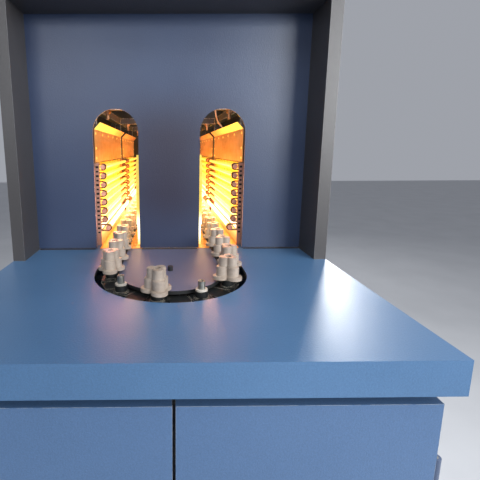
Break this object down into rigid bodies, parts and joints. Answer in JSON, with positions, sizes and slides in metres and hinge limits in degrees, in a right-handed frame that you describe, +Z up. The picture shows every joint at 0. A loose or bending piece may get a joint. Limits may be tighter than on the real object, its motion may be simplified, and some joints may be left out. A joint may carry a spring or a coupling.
{
  "type": "preform heating oven of a blow moulding machine",
  "caption": "Infrared preform oven of a blow moulding machine: arched tunnel windows over a table, with a chain conveyor of three-lobed holders on turning spindles.",
  "frame": {"origin": "on the floor, in the middle of the four anchor holes of the corner feet", "axes": "+X to the operator's right, +Y from the operator into the oven, +Z up"},
  "size_m": [0.67, 1.8474, 1.555],
  "materials": {
    "blue_paint": "satin orange peel paint",
    "wall_paint": "satin orange peel paint",
    "hood_paint": "satin paint",
    "frame_paint": "satin paint",
    "galvanised": "zinc plated",
    "dark_steel": "oiled dark steel",
    "chain_steel": "oiled steel",
    "polished": "polished reflector sheet",
    "quartz": "quartz tube, lit",
    "ceramic": "glazed ceramic",
    "nylon": "moulded nylon",
    "zinc": "zinc plated stud with a white washer",
    "rubber_black": "black rubber",
    "motor_paint": "paint",
    "black_oxide": "black oxide"
  },
  "bodies": {
    "machine": {"table_top": "blue_paint", "island_plate": "blue_paint", "island_posts": "galvanised", "tunnel_floor": "polished", "oven_wall": "wall_paint", "hood_side_left": "hood_paint", "hood_side_right": "hood_paint", "hood_roof": "hood_paint", "hood_rear": "hood_paint", "fan_housing": "galvanised", "reflector_wings": "polished", "outer_reflectors": "polished", "inner_reflectors": "polished", "lamp_tubes": "quartz", "lamp_ends": "ceramic", "lamp_clips": "galvanised", "lamp_combs": "galvanised", "tunnel_frame": "frame_paint", "frame": "frame_paint", "side_skins": "blue_paint", "hinge_pins": "galvanised", "levelling_feet": "rubber_black", "front_axle": "galvanised", "axle_bolt": "black_oxide", "bearing_blocks": "galvanised", "guide_rails": "galvanised", "gearmotor": "motor_paint"},
    "rear_turn": {"rear_wheel": "chain_steel", "rear_shaft": "galvanised", "rear_links": "chain_steel", "rear_slats": "dark_steel", "rear_holders": "nylon", "rear_spindles": "zinc"},
    "front_turn": {"front_wheel": "chain_steel", "front_links": "chain_steel", "front_slats": "dark_steel"},
    "right_run": {"right_links": "chain_steel", "right_slats": "dark_steel", "right_holders": "nylon", "right_spindles": "zinc"},
    "left_run": {"left_links": "chain_steel", "left_slats": "dark_steel", "left_holders": "nylon", "left_spindles": "zinc"},
    "fan": {"fan_rotor": "galvanised"},
    "door_left": {"door_left": "blue_paint"},
    "door_right": {"door_right": "blue_paint"},
    "carrier_a": {"spindle_a": "zinc", "holder_a": "nylon"},
    "carrier_b": {"spindle_b": "zinc"},
    "carrier_c": {"spindle_c": "zinc", "holder_c": "nylon"},
    "carrier_d": {"spindle_d": "zinc"},
    "carrier_e": {"spindle_e": "zinc", "holder_e": "nylon"}
  },
  "joints": [
    {"name": "drive_turn", "type": "hinge", "parent": "machine", "child": "rear_turn", "pos_m": [0, 0.69573, 0.85], "axis": [0, 0, 1], "range_deg": [-18.95, 18.95]},
    {"name": "front_turn", "type": "hinge", "parent": "machine", "child": "front_turn", "pos_m": [0, -0.61872, 0.85], "axis": [0, 0, 1], "range_deg": [-19.15, 19.15]},
    {"name": "right_travel", "type": "slide", "parent": "machine", "child": "right_run", "axis": [0, 1, 0], "range_m": [-0.0383, 0.0383]},
    {"name": "left_travel", "type": "slide", "parent": "machine", "child": "left_run", "axis": [0, -1, 0], "range_m": [-0.0383, 0.0383]},
    {"name": "fan_spin", "type": "hinge", "parent": "machine", "child": "fan", "pos_m": [0, 0.0385, 1.505], "axis": [0, 0, 1], "continuous": true},
    {"name": "door_left_swing", "type": "hinge", "parent": "machine", "child": "door_left", "pos_m": [-0.3221, -0.90673, 0.465], "axis": [0, 0, -1], "range_deg": [0, 100]},
    {"name": "door_right_swing", "type": "hinge", "parent": "machine", "child": "door_right", "pos_m": [0.3221, -0.90673, 0.465], "axis": [0, 0, 1], "range_deg": [0, 100]},
    {"name": "spin_a", "type": "hinge", "parent": "front_turn", "child": "carrier_a", "pos_m": [-0.11405, -0.62382, 0.905], "axis": [0, 0, 1], "continuous": true},
    {"name": "spin_b", "type": "hinge", "parent": "front_turn", "child": "carrier_b", "pos_m": [-0.08687, -0.69279, 0.905], "axis": [0, 0, 1], "continuous": true},
    {"name": "spin_c", "type": "hinge", "parent": "front_turn", "child": "carrier_c", "pos_m": [-0.02306, -0.73053, 0.905], "axis": [0, 0, 1], "continuous": true},
    {"name": "spin_d", "type": "hinge", "parent": "front_turn", "child": "carrier_d", "pos_m": [0.05048, -0.72112, 0.905], "axis": [0, 0, 1], "continuous": true},
    {"name": "spin_e", "type": "hinge", "parent": "front_turn", "child": "carrier_e", "pos_m": [0.10273, -0.66852, 0.905], "axis": [0, 0, 1], "continuous": true}
  ],
  "couplings": [
    {"joint": "front_turn", "follows": "drive_turn", "ratio": 1},
    {"joint": "right_travel", "follows": "drive_turn", "m_per_rad": 0.11521},
    {"joint": "left_travel", "follows": "drive_turn", "m_per_rad": 0.11521}
  ]
}
